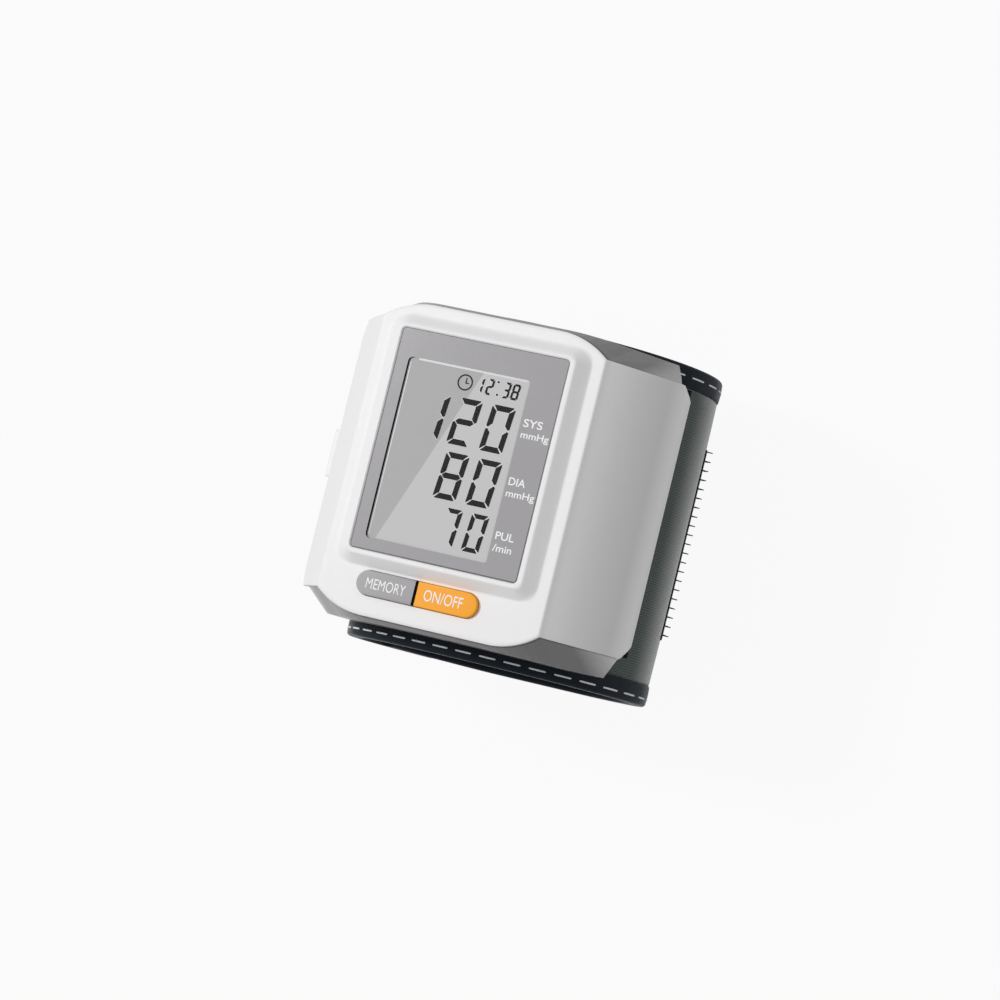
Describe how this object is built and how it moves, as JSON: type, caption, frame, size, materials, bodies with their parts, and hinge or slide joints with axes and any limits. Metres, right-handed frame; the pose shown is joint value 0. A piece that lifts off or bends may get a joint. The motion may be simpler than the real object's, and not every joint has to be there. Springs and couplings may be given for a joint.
{
  "type": "wrist blood pressure monitor",
  "caption": "Wrist blood pressure monitor: a white housing with a raised display and a split pill-shaped pair of buttons, carried on a closed cloth cuff with a battery door at its side.",
  "frame": {"origin": "centre of the flat on the cuff's back, where the part lies, under the middle of the display housing", "axes": "+X to the display's right, +Y to the display's top edge, along the wrist, +Z out of the display"},
  "size_m": [0.0729, 0.0684, 0.0766],
  "materials": {
    "white_shell": "smooth white",
    "grey_shell": "smooth mid grey, soft highlights",
    "black_frame": "matte black",
    "window": "grey printed window, glossy",
    "display": "grey liquid crystal display",
    "silicone": "pale translucent silicone",
    "board": "green circuit board",
    "component": "black moulded component",
    "grey_button": "grey button",
    "orange_button": "orange button",
    "steel": "plain steel",
    "brass": "turned brass",
    "cell_jacket": "plain blue cell jacket",
    "cuff_cloth": "grey-green woven cloth",
    "stiffener": "springy plastic sheet",
    "bladder": "dark welded film",
    "lining": "dark brushed lining",
    "binding": "dark blue-black tape",
    "hook_strip": "black hook tape"
  },
  "bodies": {
    "monitor": {"front_cover": "white_shell", "rear_case": "grey_shell", "mid_frame": "black_frame", "display_lens": "window", "lcd_glass": "display", "lcd_frame": "black_frame", "elastomer_strip": "silicone", "main_board": "board", "controller_chip": "component", "buzzer": "component", "pressure_sensor": "component", "button_board": "board", "memory_switch": "component", "power_switch": "component", "pump_motor": "steel", "pump_head": "component", "air_manifold": "white_shell", "air_hose": "silicone", "release_valve": "steel", "battery_cell_1": "cell_jacket", "battery_cell_2": "cell_jacket", "contact_spring_1": "steel", "contact_spring_2": "steel", "contact_bridge": "steel", "contact_plus": "steel", "contact_minus": "steel", "air_nipple": "silicone", "cuff_cover": "cuff_cloth", "cuff_former": "stiffener", "cuff_bladder": "bladder", "cuff_lining": "lining", "cuff_binding_top": "binding", "cuff_binding_bottom": "binding", "hook_patch": "hook_strip", "case_screw_1": "steel", "case_screw_2": "steel", "case_screw_3": "steel", "case_screw_4": "steel"},
    "memory_button": {"memory_button": "grey_button"},
    "power_button": {"power_button": "orange_button"},
    "battery_door": {"battery_door": "white_shell"},
    "cuff_flap": {"flap_cover": "cuff_cloth", "flap_loop": "lining", "flap_binding_top": "binding", "flap_binding_bottom": "binding", "flap_end_binding": "binding"},
    "motor_shaft": {"motor_shaft": "steel"},
    "valve_plunger": {"valve_plunger": "brass"}
  },
  "joints": [
    {"name": "memory_press", "type": "slide", "parent": "monitor", "child": "memory_button", "axis": [0, 0, -1], "range_m": [0, 0.0007], "stiffness_N_per_m": 300, "springref_m": -0.0005},
    {"name": "power_press", "type": "slide", "parent": "monitor", "child": "power_button", "axis": [0, 0, -1], "range_m": [0, 0.0007], "stiffness_N_per_m": 300, "springref_m": -0.0005},
    {"name": "battery_door_hinge", "type": "hinge", "parent": "monitor", "child": "battery_door", "pos_m": [-0.02652, 0, 0.0521], "axis": [0, -1, 0], "range_deg": [0, 55]},
    {"name": "cuff_flap_hinge", "type": "hinge", "parent": "monitor", "child": "cuff_flap", "pos_m": [-0.03091, 0, 0.03657], "axis": [0, 1, 0], "range_deg": [0, 100]},
    {"name": "motor_spin", "type": "hinge", "parent": "monitor", "child": "motor_shaft", "pos_m": [0.01797, 0, 0.0645], "axis": [0, 1, 0], "continuous": true},
    {"name": "valve_slide", "type": "slide", "parent": "monitor", "child": "valve_plunger", "axis": [0, -1, 0], "range_m": [0, 0.0008], "stiffness_N_per_m": 100, "springref_m": -0.0003}
  ]
}
